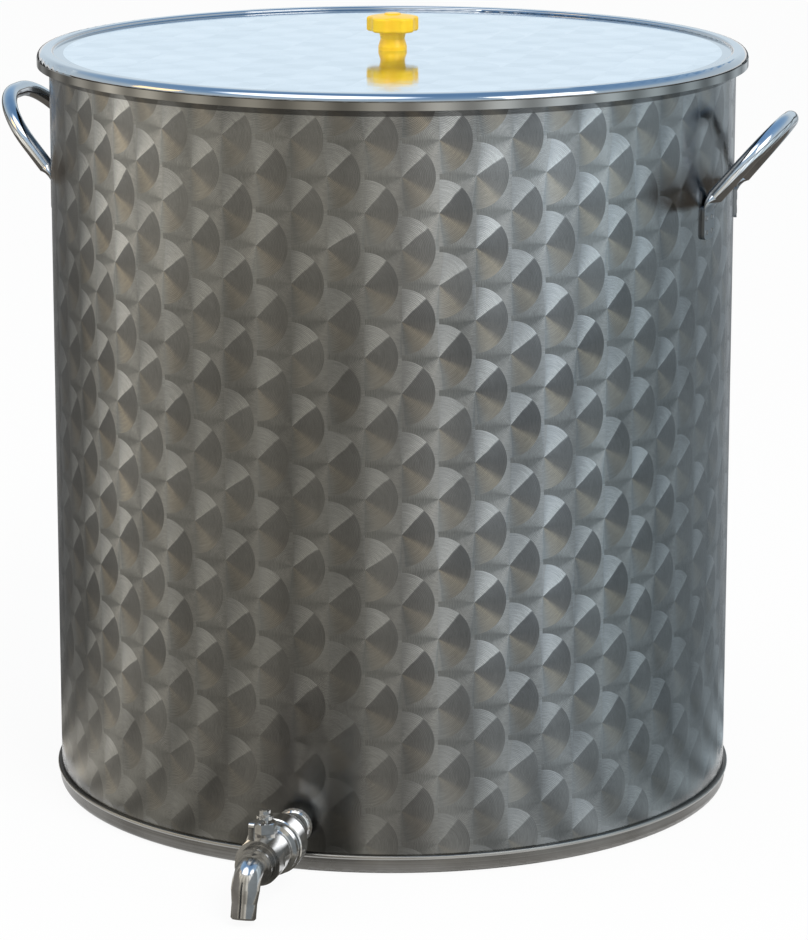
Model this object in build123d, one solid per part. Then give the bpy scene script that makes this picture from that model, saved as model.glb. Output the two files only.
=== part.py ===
from build123d import *
from math import asin, cos, degrees, radians, sin, sqrt
import os

# A steel stock pot with a lift-off lid, two bar handles and a ball tap, in millimetres.
# The origin is on the pot's axis, on the surface that it stands on. +Z is up and the tap points to -Y.

# Pot wall and its curled rim
pot_radius = 250.0
wall = 1.2
pot_height = 548.4
curl_radius = 3.6
curl_gap_width = 1.2
seam_width = 4.0
seam_proud = 0.35

# Flat bottom, and the rolled base ring welded round it, with its skirt and half-round bead
base_sheet = 1.2
base_gap = 0.1
base_skirt_height = 14.0
base_corner_radius = 4.5
base_bead_radius = 1.7
base_seam_gap = 0.05
wall_foot_gap = 0.3

# Pressed lid
lid_sheet = 0.8
lid_seat_gap = 0.3
lid_side_gap = 2.0
lid_recess = 2.5
lid_recess_gap = 0.8
lid_skirt_height = 11.0
lid_corner_radius = 5.5
lid_step_foot_radius = 1.0
lid_step_head_radius = 1.4

# Knob, its cap, insert and screw
knob_radius = 19.0
knob_head_height = 12.5
knob_total_height = 26.0
knob_lobes = 5
knob_scallop_radius = 14.0
knob_scallop_depth = 2.6
knob_lobe_round = 4.0
knob_edge_round = 1.8
knob_dome_radius = 85.0
knob_neck_radius = 8.8
knob_foot_radius = 10.5
knob_foot_height = 2.5
cap_radius = 6.0
cap_depth = 3.0
cap_proud = 0.7
cap_gap = 0.1
insert_radius = 5.0
insert_length = 14.0
insert_gap = 0.05
screw_radius = 4.0
screw_gap = 0.05
screw_reach = 12.0
screw_head_radius = 6.5
screw_head_height = 3.5
screw_head_round = 1.2
screw_slot_width = 1.6
screw_slot_depth = 1.6
lid_hole_radius = 4.5
washer_radius = 8.5
washer_thickness = 1.5

# Handles: a bent bar with two flattened ends, spot-welded to the wall
bar_radius = 5.7
handle_reach = 42.5
handle_rise = 54.7
handle_leg_spread = 49.5
handle_grip_spread = 47.2
handle_corner_radius = 44.0
handle_foot_reach = 6.4
handle_foot_rise = 6.0
tab_width = 18.0
tab_length = 24.5
tab_thickness = 2.2
tab_corner_radius = 4.0
tab_bottom_height = 427.3
tab_seat_gap = 0.05
neck_half_width = 8.6
neck_half_thickness = 3.0
neck_shift = 1.2
neck_lean = 14.0
neck_tail_length = 6.0
neck_tail_half_width = 7.2
neck_tail_inset = 0.1
weld_dot_radius = 1.8
weld_dot_depth = 0.4
weld_dot_spacing = 10.0
weld_dot_drop = 2.0

# Tap, along its own axis: distances are measured outwards from the pot's wall
tap_height = 32.7
tap_bore_radius = 6.0
thread_gap = 0.05
socket_radius = 11.0
socket_inside_length = 15.0
socket_length = 3.0
socket_chamfer = 0.6
socket_weld_leg = 1.4
socket_hole_gap = 0.1
bore_edge_gap = 0.5
tail_thread_radius = 8.3
tail_thread_length = 15.0
tail_neck_radius = 10.0
tail_neck_length = 20.1
tail_flange_radius = 14.2
tail_flange_length = 4.0
seal_gap = 0.05
gasket_thickness = 2.0
nut_radius = 20.0
nut_lip_length = 2.6
nut_length = 28.0
nut_rear_radius = 15.7
nut_cone_length = 14.0
nut_bore_gap = 0.15
nut_chamfer = 0.8
nut_flat_depth = 1.2
nut_flat_length = 9.0
body_thread_radius = 14.2
body_shoulder_radius = 18.6
body_shoulder_length = 8.0
body_radius = 16.0
body_front_length = 29.4
body_groove_depth = 0.7
body_groove_width = 1.2
body_flat_length = 12.0
body_flat_depth = 0.9
ball_radius = 10.0
ball_gap = 0.15
ball_station = 68.0
cavity_radius = 11.0
cavity_gap = 0.1
seat_length = 5.5
seat_face_offset = 6.0
end_ring_radius = 13.2
end_ring_length = 9.4
end_groove_count = 3
end_groove_pitch = 2.2
end_groove_start = 1.3

# Spout: an elbow and a tapered tube that leans outwards
spout_stub_radius = 9.0
spout_stub_length = 8.0
spout_collar_radius = 11.6
spout_collar_length = 2.6
spout_radius = 9.8
spout_end_radius = 8.7
spout_bore_radius = 7.0
spout_bend_radius = 14.0
spout_lean = 16.0
spout_end_height = 3.3
spout_run_in = 1.0
spout_plain_length = 11.0
spout_end_round = 1.2
spout_seal_section = 1.0

# Stem, gland and lever
boss_radius = 8.2
boss_height = 17.0
stem_radius = 2.5
stem_gap = 0.08
stem_tang_width = 2.6
stem_tang_depth = 2.4
stem_tang_lap = 0.02
tang_gap = 0.1
packing_height = 4.0
packing_radius = 5.5
gland_across_flats = 15.0
gland_height = 7.5
gland_spigot_height = 3.0
gland_chamfer = 1.0
lever_height = 26.5
lever_thickness = 2.4
lever_eye_radius = 5.6
lever_arm_width = 3.8
lever_arm_length = 31.5
lever_arm_rise = 4.4
lever_tab_length = 12.4
lever_bend_radius = 1.2
lever_crank_radius = 8.0
stem_flat_depth = 0.6
lever_washer_radius = 4.2
lever_washer_thickness = 0.8
lever_nut_across_flats = 6.6
lever_nut_height = 2.6
stem_stub = 0.5

# Heights and stations that follow from the sizes above
curl_centre_radius = pot_radius - wall + curl_radius
curl_centre_height = pot_height - curl_radius
wall_foot_height = base_corner_radius + wall_foot_gap
base_radius = pot_radius + base_gap + base_sheet
base_flat_radius = base_radius - base_corner_radius
lid_top = pot_height + lid_seat_gap + lid_sheet
lid_radius = curl_centre_radius + curl_radius + lid_side_gap + lid_sheet
panel_top = lid_top - lid_recess
panel_underside = panel_top - lid_sheet
tail_neck_station = socket_length + seal_gap
tail_flange_station = tail_neck_station + tail_neck_length
gasket_station = tail_flange_station + tail_flange_length + seal_gap
body_rear_station = gasket_station + gasket_thickness + seal_gap
nut_station = tail_flange_station - nut_lip_length - seal_gap
nut_front_station = nut_station + nut_length
shoulder_station = nut_front_station + seal_gap
barrel_station = shoulder_station + body_shoulder_length
body_front_station = barrel_station + body_front_length
end_ring_station = body_front_station + seal_gap
spout_collar_station = end_ring_station + end_ring_length + seal_gap
gland_base_height = boss_height + seal_gap
stem_top_height = (lever_height + lever_thickness + lever_washer_thickness + lever_nut_height
                   + 2 * seal_gap + stem_stub)


def turned(outline):
    """A solid of revolution about Z. The outline is a closed list of (radius, height) points."""
    return revolve(Plane.XZ * make_face(Polyline(*outline, close=True)), axis=Axis.Z)


def tube(outer, inner, bottom, top):
    """A plain round tube about Z."""
    return turned([(inner, bottom), (outer, bottom), (outer, top), (inner, top)])


def disc(radius, bottom, top):
    """A plain round disc about Z."""
    return turned([(0, bottom), (radius, bottom), (radius, top), (0, top)])


def hexagon(across_flats, bottom, top):
    """A hexagonal prism about Z, with two of its faces square to Y."""
    outline = RegularPolygon(across_flats / 2, 6, major_radius=False, rotation=30)
    return Pos(0, 0, bottom) * extrude(outline, top - bottom)


def on_tap_axis(solid):
    """Turns a piece made about Z, with Z as the distance from the wall, on to the tap's axis."""
    return Plane(origin=(0, -pot_radius, tap_height), x_dir=(1, 0, 0), z_dir=(0, -1, 0)).location * solid


def on_stem_axis(solid):
    """Places a piece made about Z, with Z as the height above the tap's axis, on the stem's axis."""
    return Pos(0, -pot_radius - ball_station, tap_height) * solid


def save(solid, name):
    solid.label = name
    export_step(solid, f"parts/{name}.step")


# Pot

def make_body_shell():
    """The rolled wall, its outward curl, its planished seam at the back and the hole for the socket."""
    inner = pot_radius - wall
    sheet = turned([(inner, wall_foot_height), (pot_radius, wall_foot_height),
                    (pot_radius, curl_centre_height), (inner, curl_centre_height)])
    ring = Circle(curl_radius) - Circle(curl_radius - wall)
    ring -= Pos(-curl_radius / 2, -curl_radius) * Rectangle(curl_gap_width, 2 * curl_radius)
    curl = revolve(Plane.XZ * Pos(curl_centre_radius, curl_centre_height) * ring, axis=Axis.Z)
    seam_top = curl_centre_height - curl_radius - seam_width
    seam_bottom = base_skirt_height + seam_width
    seam = tube(pot_radius + seam_proud, pot_radius - wall / 2, seam_bottom, seam_top)
    seam &= Pos(0, pot_radius, pot_height / 2) * Box(seam_width, 2 * curl_radius, pot_height)
    hole = on_tap_axis(disc(socket_radius + socket_hole_gap, -socket_inside_length, socket_inside_length))
    return sheet + curl + seam - hole


def make_bottom_pan():
    """The flat bottom disc, let into the base ring and welded to it all round."""
    return disc(base_flat_radius - base_seam_gap, 0, base_sheet)


def make_base_ring():
    """The rolled base ring: a rounded corner and a skirt that sleeves over the wall, with a bead on top."""
    inner_corner = base_corner_radius - base_sheet
    inner_radius = base_radius - base_sheet
    bead_height = base_skirt_height - base_bead_radius
    section = RadiusArc((base_flat_radius, 0), (base_radius, base_corner_radius), -base_corner_radius)
    section += Polyline((base_radius, base_corner_radius), (base_radius, base_skirt_height),
                        (inner_radius, base_skirt_height), (inner_radius, base_corner_radius))
    section += RadiusArc((inner_radius, base_corner_radius), (base_flat_radius, base_sheet), inner_corner)
    section += Line((base_flat_radius, base_sheet), (base_flat_radius, 0))
    bead = Pos(base_radius, bead_height) * Circle(base_bead_radius)
    bead &= Pos(base_radius + base_bead_radius, bead_height) * Rectangle(2 * base_bead_radius + base_sheet,
                                                                         2 * base_bead_radius)
    return revolve(Plane.XZ * (make_face(section) + bead), axis=Axis.Z)


def make_lid_panel():
    """The pressed lid: a recessed panel, a raised rim and a skirt round the curl of the pot."""
    step = curl_centre_radius - curl_radius - lid_recess_gap - lid_sheet
    rim_bottom = lid_top - lid_skirt_height
    sheet = lid_sheet
    top_line = FilletPolyline((0, panel_top), (step, panel_top), (step, lid_top), (lid_radius, lid_top),
                              (lid_radius, rim_bottom),
                              radius=[lid_step_foot_radius, lid_step_head_radius, lid_corner_radius])
    under_line = FilletPolyline((0, panel_underside), (step + sheet, panel_underside),
                                (step + sheet, lid_top - sheet), (lid_radius - sheet, lid_top - sheet),
                                (lid_radius - sheet, rim_bottom),
                                radius=[lid_step_foot_radius + sheet, lid_step_head_radius - sheet,
                                        lid_corner_radius - sheet])
    ends = Line((0, panel_top), (0, panel_underside)) + Line((lid_radius, rim_bottom),
                                                           (lid_radius - sheet, rim_bottom))
    panel = revolve(Plane.XZ * make_face(top_line + under_line + ends), axis=Axis.Z)
    return panel - disc(lid_hole_radius, panel_underside - sheet, lid_top)


# Knob

def make_lid_knob():
    """The moulded knob: a lobed and slightly domed head on a waisted neck with a small foot."""
    scallop_offset = knob_radius - knob_scallop_depth + knob_scallop_radius
    outline = Circle(knob_radius) - PolarLocations(scallop_offset, knob_lobes) * Circle(knob_scallop_radius)
    outline = fillet(outline.vertices(), knob_lobe_round)
    head_bottom = knob_total_height - knob_head_height
    head = Pos(0, 0, head_bottom) * extrude(outline, knob_head_height)
    head &= Pos(0, 0, knob_total_height - knob_dome_radius) * Sphere(knob_dome_radius)
    head = fillet(head.faces().sort_by(Axis.Z)[-1].edges(), knob_edge_round)
    head = fillet(head.faces().sort_by(Axis.Z)[0].edges(), knob_edge_round)
    waist_height = (knob_foot_height + head_bottom) / 2
    neck = turned([(0, 0), (knob_foot_radius, 0), (knob_foot_radius, knob_foot_height),
                   (knob_neck_radius, waist_height), (knob_foot_radius, head_bottom + knob_edge_round),
                   (0, head_bottom + knob_edge_round)])
    knob = head + neck
    knob -= disc(insert_radius + insert_gap, -1, insert_length + insert_gap)
    knob -= disc(cap_radius + cap_gap, knob_total_height - cap_depth, knob_total_height + 1)
    return Pos(0, 0, panel_top) * knob


def make_knob_cap():
    """The round cap that closes the middle of the knob."""
    bottom = panel_top + knob_total_height - cap_depth + seal_gap
    cap = disc(cap_radius, bottom, panel_top + knob_total_height + cap_proud)
    return fillet(cap.faces().sort_by(Axis.Z)[-1].edges(), cap_proud)


def make_knob_insert():
    """The brass bush moulded into the knob, with a thread for the screw."""
    return tube(insert_radius, screw_radius + screw_gap, panel_top, panel_top + insert_length)


def make_knob_screw():
    """The slotted screw that comes up through the washer and the lid into the insert."""
    seat = panel_underside - washer_thickness - 2 * seal_gap
    screw = disc(screw_radius, seat, panel_top + screw_reach)
    head = disc(screw_head_radius, seat - screw_head_height, seat)
    head = fillet(head.faces().sort_by(Axis.Z)[0].edges(), screw_head_round)
    slot_height = seat - screw_head_height + screw_slot_depth / 2
    slot = Pos(0, 0, slot_height) * Box(4 * screw_head_radius, screw_slot_width, screw_slot_depth)
    return screw + head - slot


def make_knob_washer():
    """The washer between the screw's head and the lid."""
    top = panel_underside - seal_gap
    return tube(washer_radius, screw_radius + screw_gap, top - washer_thickness, top)


# Handles

def make_handle():
    """The handle on the +X side: a bent bar whose ends are flattened, drawn down and spot-welded."""
    tab_top = tab_bottom_height + tab_length
    leg_angle = degrees(asin(handle_leg_spread / pot_radius))
    tab_middle = pot_radius + tab_thickness / 2
    foot_radius = pot_radius + handle_foot_reach
    foot = (foot_radius * cos(radians(leg_angle)), foot_radius * sin(radians(leg_angle)),
            tab_top + handle_foot_rise)
    grip_x = pot_radius + handle_reach
    grip_height = tab_top + handle_rise
    path = FilletPolyline((foot[0], -foot[1], foot[2]), (grip_x, -handle_grip_spread, grip_height),
                          (grip_x, handle_grip_spread, grip_height), foot, radius=handle_corner_radius)
    bar = sweep(Plane(origin=path @ 0, z_dir=path % 0) * Circle(bar_radius), path=path)

    # One flattened end, made at the wall on the X axis and then turned to each leg
    leg = Vector(grip_x - foot[0], handle_grip_spread - foot[1], grip_height - foot[2])
    leg_plane = Plane(origin=(foot_radius, 0, foot[2]), x_dir=(0, 1, 0), z_dir=leg.rotate(Axis.Z, -leg_angle))
    tab = Pos(tab_middle - wall / 2, 0, tab_bottom_height + tab_length / 2) * Box(
        tab_thickness + wall, tab_width, tab_length)
    tab = fillet(tab.edges().filter_by(Axis.X), tab_corner_radius)
    dot_ball = weld_dot_radius ** 2 / (2 * weld_dot_depth)
    dot_depth = pot_radius + tab_thickness + dot_ball - weld_dot_depth
    dot_row = tab_length / 2 - weld_dot_drop
    dots = [Pos(dot_depth, dot_y, tab_bottom_height + dot_z) * Sphere(dot_ball)
            for dot_y in (-weld_dot_spacing / 2, weld_dot_spacing / 2)
            for dot_z in (dot_row - weld_dot_spacing / 2, dot_row + weld_dot_spacing / 2)]
    neck_turn = radians(neck_lean)
    neck_plane = Plane(origin=(tab_middle + neck_shift, 0, tab_top), x_dir=(0, 1, 0),
                       z_dir=(sin(neck_turn), 0, cos(neck_turn)))
    tail_plane = Plane(origin=(tab_middle, 0, tab_top - neck_tail_length), x_dir=(0, 1, 0), z_dir=(0, 0, 1))
    neck = loft([tail_plane * Ellipse(neck_tail_half_width, tab_thickness / 2 - neck_tail_inset),
                 neck_plane * Ellipse(neck_half_width, neck_half_thickness),
                 leg_plane * Circle(bar_radius)])
    end = tab - dots + neck
    handle = bar
    for turn in (-leg_angle, leg_angle):
        near_end = end if turn > 0 else mirror(end, about=Plane.XZ)
        handle += Rot(0, 0, turn) * near_end
    return handle - disc(pot_radius + tab_seat_gap, 0, pot_height)


# Tap

def make_weld_socket():
    """The threaded socket through the wall, with its weld fillet outside."""
    bore = tail_thread_radius + thread_gap
    socket = turned([(bore, -socket_inside_length), (socket_radius, -socket_inside_length),
                     (socket_radius, socket_length - socket_chamfer),
                     (socket_radius - socket_chamfer, socket_length), (bore, socket_length)])
    fillet_ring = turned([(bore, -1), (socket_radius + socket_weld_leg, -1),
                          (socket_radius + socket_weld_leg, 0), (socket_radius, socket_weld_leg),
                          (bore, socket_weld_leg)])
    weld = on_tap_axis(fillet_ring) - disc(pot_radius, 0, pot_height)
    return on_tap_axis(socket) + weld


def make_tap_nipple():
    """The tap's tail: a thread for the socket, a neck and the flange that the union nut pulls on."""
    thread_start = socket_length - tail_thread_length
    return on_tap_axis(turned([
        (tap_bore_radius, thread_start), (tail_thread_radius, thread_start),
        (tail_thread_radius, tail_neck_station), (tail_neck_radius, tail_neck_station),
        (tail_neck_radius, tail_flange_station), (tail_flange_radius, tail_flange_station),
        (tail_flange_radius, tail_flange_station + tail_flange_length),
        (tap_bore_radius, tail_flange_station + tail_flange_length)]))


def make_union_gasket():
    """The flat ring squeezed between the tail's flange and the tap's body."""
    edge_gap = 2 * bore_edge_gap
    return on_tap_axis(tube(body_thread_radius - edge_gap, tap_bore_radius + edge_gap, gasket_station,
                            gasket_station + gasket_thickness))


def make_union_nut():
    """The large bell-shaped collar, with two spanner flats and a lip that draws the tail to the body."""
    bore = body_thread_radius + nut_bore_gap
    lip_bore = tail_neck_radius + nut_bore_gap
    lip_front = nut_station + nut_lip_length
    nut = turned([(lip_bore, nut_station), (nut_rear_radius - nut_chamfer, nut_station),
                  (nut_rear_radius, nut_station + nut_chamfer), (nut_radius, nut_station + nut_cone_length),
                  (nut_radius, nut_front_station - nut_chamfer),
                  (nut_radius - nut_chamfer, nut_front_station), (bore, nut_front_station),
                  (bore, lip_front), (lip_bore, lip_front)])
    flat_offset = nut_radius - nut_flat_depth + nut_radius / 2
    for side in (-1, 1):
        nut -= Pos(side * flat_offset, 0, nut_station + nut_cone_length) * Box(
            nut_radius, 2 * nut_radius, nut_flat_length)
    return on_tap_axis(nut)


def make_valve_body():
    """The tap's middle: a rear thread, a shoulder, a barrel with spanner flats and the stem's boss."""
    seat_rear_station = ball_station - seat_face_offset - seat_length
    barrel = turned([
        (tap_bore_radius, body_rear_station), (body_thread_radius, body_rear_station),
        (body_thread_radius, shoulder_station), (body_shoulder_radius, shoulder_station),
        (body_shoulder_radius, barrel_station - body_groove_width),
        (body_radius, barrel_station), (body_radius, body_front_station),
        (cavity_radius + cavity_gap, body_front_station),
        (cavity_radius + cavity_gap, seat_rear_station - seal_gap),
        (tap_bore_radius, seat_rear_station - seal_gap)])
    groove_station = barrel_station + body_groove_width * 2
    barrel -= tube(body_radius + 1, body_radius - body_groove_depth, groove_station,
                   groove_station + body_groove_width)
    flat_offset = body_radius - body_flat_depth + body_radius / 2
    flat_station = body_front_station - body_flat_length / 2 - body_groove_width
    for side in (-1, 1):
        barrel -= Pos(side * flat_offset, 0, flat_station) * Box(body_radius, 2 * body_radius,
                                                                 body_flat_length)
    boss = disc(boss_radius, cavity_radius, boss_height)
    boss_hole = disc(stem_radius + stem_gap, 0, boss_height + 1)
    packing_well = disc(packing_radius + cavity_gap, boss_height - packing_height, boss_height + 1)
    body = on_tap_axis(barrel) + on_stem_axis(boss)
    cavity = on_tap_axis(disc(cavity_radius + cavity_gap, seat_rear_station - seal_gap, body_front_station))
    return body - cavity - on_stem_axis(boss_hole) - on_stem_axis(packing_well)


def make_seat(side):
    """A plastic ring with a hollow face that fits the ball, behind it (-1) or in front of it (1)."""
    face = ball_station + side * seat_face_offset
    back = face + side * seat_length
    ring = tube(cavity_radius, tap_bore_radius + bore_edge_gap, min(face, back), max(face, back))
    return on_tap_axis(ring - Pos(0, 0, ball_station) * Sphere(ball_radius + ball_gap))


def make_ball():
    """The bored ball, with a slot on top for the stem's tang."""
    ball = Pos(0, 0, ball_station) * Sphere(ball_radius)
    ball -= disc(tap_bore_radius, ball_station - 2 * ball_radius, ball_station + 2 * ball_radius)
    slot = Pos(0, 0, ball_radius) * Box(4 * ball_radius, stem_tang_width + 2 * tang_gap,
                                        2 * stem_tang_depth + 2 * tang_gap)
    return on_tap_axis(ball) - on_stem_axis(slot)


def make_valve_end():
    """The ring screwed into the body's front, grooved outside, with a socket for the spout's stub."""
    seat_front = ball_station + seat_face_offset + seat_length + seal_gap
    end_front = end_ring_station + end_ring_length
    stub_bore = spout_stub_radius + thread_gap
    stub_floor = end_front - spout_stub_length - seal_gap
    ring = turned([
        (tap_bore_radius, seat_front), (cavity_radius + cavity_gap - thread_gap, seat_front),
        (cavity_radius + cavity_gap - thread_gap, end_ring_station), (end_ring_radius, end_ring_station),
        (end_ring_radius, end_front), (stub_bore, end_front), (stub_bore, stub_floor),
        (tap_bore_radius, stub_floor)])
    for index in range(end_groove_count):
        groove = end_ring_station + end_groove_start + end_groove_pitch * index
        ring -= tube(end_ring_radius + 1, end_ring_radius - body_groove_depth, groove,
                     groove + body_groove_width)
    return on_tap_axis(ring)


def make_spout():
    """The spout: a stub and a collar, a round elbow and a tapered tube with one bore through all."""
    collar_front = spout_collar_station + spout_collar_length
    bend_start = collar_front + spout_run_in
    turn = radians(90 - spout_lean)
    lean = radians(spout_lean)
    bend_out = bend_start + spout_bend_radius * sin(turn)
    bend_drop = spout_bend_radius * (1 - cos(turn))
    tube_length = (tap_height - bend_drop - spout_end_height) / cos(lean)

    # In the upright plane of the tap, x is the distance from the wall and y the height above the axis
    side_plane = Plane(origin=(0, -pot_radius, tap_height), x_dir=(0, -1, 0), z_dir=(-1, 0, 0))
    bend = side_plane * CenterArc((bend_start, -spout_bend_radius), spout_bend_radius, 90, spout_lean - 90)
    across = Plane(origin=bend @ 0, z_dir=bend % 0)
    elbow = sweep(across * Circle(spout_radius), path=bend)
    elbow_bore = sweep(across * Circle(spout_bore_radius), path=bend)

    down = Plane(origin=(0, -pot_radius - bend_out, tap_height - bend_drop), x_dir=(1, 0, 0),
                 z_dir=(0, -sin(lean), -cos(lean))).location
    pipe = down * turned([
        (0, 0), (spout_radius, 0), (spout_end_radius, tube_length - spout_plain_length),
        (spout_end_radius, tube_length - spout_end_round),
        (spout_end_radius - spout_end_round, tube_length), (0, tube_length)])
    pipe_bore = down * disc(spout_bore_radius, 0, tube_length + 1)

    stub_start = spout_collar_station - spout_stub_length
    seal_station = spout_collar_station - spout_stub_length / 2
    groove_radius = spout_stub_radius - spout_seal_section
    stub = on_tap_axis(turned([
        (0, stub_start), (spout_stub_radius, stub_start),
        (spout_stub_radius, seal_station - spout_seal_section),
        (groove_radius, seal_station - spout_seal_section), (groove_radius, seal_station + spout_seal_section),
        (spout_stub_radius, seal_station + spout_seal_section), (spout_stub_radius, spout_collar_station),
        (spout_collar_radius, spout_collar_station), (spout_collar_radius, collar_front),
        (spout_radius, collar_front), (spout_radius, bend_start), (0, bend_start)]))
    stub_bore = on_tap_axis(disc(spout_bore_radius, stub_start - 1, bend_start))
    return stub + elbow + pipe - (stub_bore + elbow_bore + pipe_bore)


def make_spout_seal():
    """The rubber ring in the groove of the spout's stub."""
    station = spout_collar_station - spout_stub_length / 2
    return on_tap_axis(tube(spout_stub_radius, spout_stub_radius - spout_seal_section,
                            station - spout_seal_section + seal_gap, station + spout_seal_section - seal_gap))


# Stem, gland and lever

def make_stem():
    """The spindle: a tang in the ball's slot, a round shank and two flats under the lever."""
    shank_bottom = ball_radius - stem_tang_depth + tang_gap
    shank = disc(stem_radius, cavity_radius, stem_top_height)
    tang = Pos(0, 0, (shank_bottom + cavity_radius) / 2) * Box(2 * stem_radius, stem_tang_width,
                                                               cavity_radius - shank_bottom + stem_tang_lap)
    tang &= disc(stem_radius, 0, stem_top_height)
    stem = shank + tang
    flat_start = lever_height - seal_gap
    for side in (-1, 1):
        flat_offset = side * (2 * stem_radius - stem_flat_depth)
        stem -= Pos(flat_offset, 0, flat_start + stem_top_height / 2) * Box(
            2 * stem_radius, 4 * stem_radius, stem_top_height)
    return on_stem_axis(stem)


def make_stem_packing():
    """The packing ring in the boss, under the gland nut's spigot."""
    bottom = boss_height - packing_height + seal_gap
    return on_stem_axis(tube(packing_radius, stem_radius + stem_gap, bottom,
                             boss_height - gland_spigot_height / 2 - seal_gap))


def make_gland_nut():
    """The hexagonal nut that presses on the packing."""
    top = gland_base_height + gland_height
    nut = hexagon(gland_across_flats, gland_base_height, top)
    crown = turned([(0, gland_base_height), (gland_across_flats, gland_base_height),
                    (gland_across_flats, top - gland_chamfer * 2),
                    (gland_across_flats / 2 + gland_chamfer / 2, top - gland_chamfer / 2),
                    (gland_across_flats / 2, top), (0, top)])
    spigot = disc(packing_radius, boss_height - gland_spigot_height / 2, gland_base_height)
    return on_stem_axis((nut & crown) + spigot - disc(stem_radius + stem_gap, 0, top + 1))


def make_tap_lever():
    """The lever: an eye on the stem, a narrow arm that rises outwards and an end bent straight down."""
    slope = lever_arm_rise / (lever_arm_length - lever_eye_radius)
    slant = lever_thickness * sqrt(1 + slope ** 2)
    inner_reach = lever_arm_length - lever_thickness
    inner_start = lever_eye_radius + (slant - lever_thickness) / slope
    inner_rise = lever_thickness - slant + slope * (inner_reach - lever_eye_radius)
    arm_top = lever_thickness + lever_arm_rise
    tip = arm_top - lever_tab_length
    bend = lever_thickness + lever_bend_radius
    over = FilletPolyline((0, lever_thickness), (lever_eye_radius, lever_thickness),
                          (lever_arm_length, arm_top), (lever_arm_length, tip),
                          radius=[lever_crank_radius, bend])
    under = FilletPolyline((0, 0), (inner_start, 0), (inner_reach, inner_rise), (inner_reach, tip),
                           radius=[lever_crank_radius + lever_thickness, lever_bend_radius])
    ends = Line((0, 0), (0, lever_thickness)) + Line((inner_reach, tip), (lever_arm_length, tip))
    side_plane = Plane(origin=(lever_arm_width / 2, 0, 0), x_dir=(0, -1, 0), z_dir=(-1, 0, 0))
    arm = extrude(side_plane * make_face(over + under + ends), lever_arm_width)
    eye = disc(lever_eye_radius, 0, lever_thickness)
    half_hole = stem_radius - stem_flat_depth + stem_gap
    hole = disc(stem_radius + stem_gap, -1, lever_thickness + 1)
    hole &= Box(2 * half_hole, 4 * stem_radius, 4 * lever_thickness)
    return on_stem_axis(Pos(0, 0, lever_height) * (arm + eye - hole))


def make_lever_washer():
    """The washer between the lever and its nut."""
    bottom = lever_height + lever_thickness + seal_gap
    return on_stem_axis(tube(lever_washer_radius, stem_radius + stem_gap, bottom,
                             bottom + lever_washer_thickness))


def make_lever_nut():
    """The small hexagonal nut on top of the stem."""
    bottom = lever_height + lever_thickness + lever_washer_thickness + 2 * seal_gap
    nut = hexagon(lever_nut_across_flats, bottom, bottom + lever_nut_height)
    return on_stem_axis(nut - disc(stem_radius + thread_gap, 0, stem_top_height + 1))


os.makedirs("parts", exist_ok=True)

save(make_body_shell(), "body_shell")
save(make_bottom_pan(), "bottom_pan")
save(make_base_ring(), "base_ring")

save(make_lid_panel(), "lid_panel")
save(make_lid_knob(), "lid_knob")
save(make_knob_cap(), "knob_cap")
save(make_knob_insert(), "knob_insert")
save(make_knob_screw(), "knob_screw")
save(make_knob_washer(), "knob_washer")

handle = make_handle()
save(handle, "handle_right")
save(mirror(handle, about=Plane.YZ), "handle_left")

save(make_weld_socket(), "weld_socket")
save(make_tap_nipple(), "tap_nipple")
save(make_union_gasket(), "union_gasket")
save(make_union_nut(), "union_nut")
save(make_valve_body(), "valve_body")
save(make_seat(-1), "seat_rear")
save(make_seat(1), "seat_front")
save(make_ball(), "ball")
save(make_valve_end(), "valve_end")
save(make_spout(), "spout")
save(make_spout_seal(), "spout_seal")

save(make_stem(), "stem")
save(make_stem_packing(), "stem_packing")
save(make_gland_nut(), "gland_nut")
save(make_tap_lever(), "tap_lever")
save(make_lever_washer(), "lever_washer")
save(make_lever_nut(), "lever_nut")
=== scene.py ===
from math import cos, pi, radians, sin

import bmesh
import bpy
from mathutils import Matrix, Vector


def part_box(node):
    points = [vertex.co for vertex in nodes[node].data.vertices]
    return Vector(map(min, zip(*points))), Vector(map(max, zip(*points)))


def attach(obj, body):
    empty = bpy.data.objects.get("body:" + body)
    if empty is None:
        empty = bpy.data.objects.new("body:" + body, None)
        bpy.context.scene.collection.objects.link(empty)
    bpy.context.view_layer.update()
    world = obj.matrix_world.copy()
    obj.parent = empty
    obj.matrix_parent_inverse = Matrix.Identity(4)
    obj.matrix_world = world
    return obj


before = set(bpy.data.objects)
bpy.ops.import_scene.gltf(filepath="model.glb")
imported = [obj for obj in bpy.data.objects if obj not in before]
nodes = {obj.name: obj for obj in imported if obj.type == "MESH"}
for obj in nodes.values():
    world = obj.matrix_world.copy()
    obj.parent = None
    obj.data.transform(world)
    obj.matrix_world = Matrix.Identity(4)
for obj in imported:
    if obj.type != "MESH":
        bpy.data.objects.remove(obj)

scene = bpy.context.scene
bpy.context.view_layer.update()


# The camera stands a little to the right of the tap, nearly three metres away, and looks slightly down.
# A long lens keeps the wall's sides almost upright, as they are in the photograph.
view_azimuth = radians(15.9)
view_distance = 2.9373
view_height = 0.9194
view_pitch = 0.22987
camera_data = bpy.data.cameras.new("camera")
camera_data.lens = 154.68
camera_data.sensor_width = 36.0
camera_data.shift_x = 0.0121
camera = bpy.data.objects.new("camera", camera_data)
camera.location = (view_distance * sin(view_azimuth), -view_distance * cos(view_azimuth), view_height)
camera.rotation_euler = (pi / 2 - view_pitch, 0.0, view_azimuth)
scene.collection.objects.link(camera)
scene.camera = camera
scene.view_settings.view_transform = "Standard"


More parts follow.
